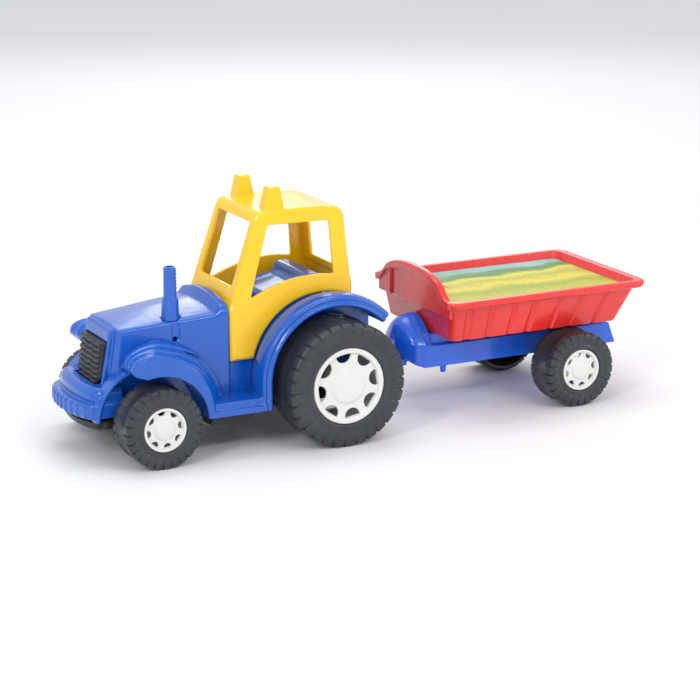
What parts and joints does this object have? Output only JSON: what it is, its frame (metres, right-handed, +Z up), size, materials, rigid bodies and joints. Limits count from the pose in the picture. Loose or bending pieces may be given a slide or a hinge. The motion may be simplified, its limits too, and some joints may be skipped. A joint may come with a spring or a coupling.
{
  "type": "toy tractor with trailer",
  "caption": "Moulded plastic toy farm tractor with cab, pulling a hitched trailer whose tub tips backwards.",
  "frame": {"origin": "middle of the whole toy's footprint, on the surface it stands on", "axes": "+X forwards, the way the tractor drives; +Y the tractor's left; +Z up"},
  "size_m": [0.4736, 0.1692, 0.1908],
  "materials": {
    "blue_plastic": "injection-moulded gloss",
    "trailer_blue_plastic": "injection-moulded gloss, a lighter blue than the tractor",
    "yellow_plastic": "injection-moulded gloss",
    "red_plastic": "injection-moulded gloss",
    "black_plastic": "satin moulded black",
    "white_plastic": "injection-moulded satin white",
    "tyre_black": "satin soft plastic with moulded lugs",
    "steel": "bright drawn rod",
    "printed_card": "printed card, matt"
  },
  "bodies": {
    "tractor": {"body_shell": "blue_plastic", "fenders_left": "blue_plastic", "fenders_right": "blue_plastic", "chassis_plate": "black_plastic", "grille_insert": "black_plastic", "exhaust_stack": "blue_plastic", "cab": "yellow_plastic", "seat": "blue_plastic", "hitch_pin": "black_plastic", "chassis_screw_1": "steel", "chassis_screw_2": "steel", "chassis_screw_3": "steel", "chassis_screw_4": "steel"},
    "front_wheels": {"front_axle": "steel", "front_tyre_left": "tyre_black", "front_hub_left": "white_plastic", "front_tyre_right": "tyre_black", "front_hub_right": "white_plastic"},
    "rear_wheels": {"rear_axle": "steel", "rear_tyre_left": "tyre_black", "rear_hub_left": "white_plastic", "rear_tyre_right": "tyre_black", "rear_hub_right": "white_plastic"},
    "trailer": {"trailer_chassis": "trailer_blue_plastic", "tub_hinge_pin": "steel"},
    "tub": {"tub": "red_plastic", "scene_card": "printed_card"},
    "trailer_wheels": {"trailer_axle": "steel", "trailer_tyre_left": "tyre_black", "trailer_hub_left": "white_plastic", "trailer_tyre_right": "tyre_black", "trailer_hub_right": "white_plastic"}
  },
  "joints": [
    {"name": "front_axle_spin", "type": "hinge", "parent": "tractor", "child": "front_wheels", "pos_m": [0.18275, 0, 0.0299], "axis": [0, 1, 0], "continuous": true},
    {"name": "rear_axle_spin", "type": "hinge", "parent": "tractor", "child": "rear_wheels", "pos_m": [0.04075, 0, 0.04725], "axis": [0, 1, 0], "continuous": true},
    {"name": "hitch_yaw", "type": "hinge", "parent": "tractor", "child": "trailer", "pos_m": [-0.01125, 0, 0.0355], "axis": [0, 0, 1], "range_deg": [-35, 35]},
    {"name": "trailer_axle_spin", "type": "hinge", "parent": "trailer", "child": "trailer_wheels", "pos_m": [-0.17025, 0, 0.0299], "axis": [0, 1, 0], "continuous": true},
    {"name": "tub_tip", "type": "hinge", "parent": "trailer", "child": "tub", "pos_m": [-0.21725, 0, 0.0553], "axis": [0, -1, 0], "range_deg": [0, 45]}
  ]
}
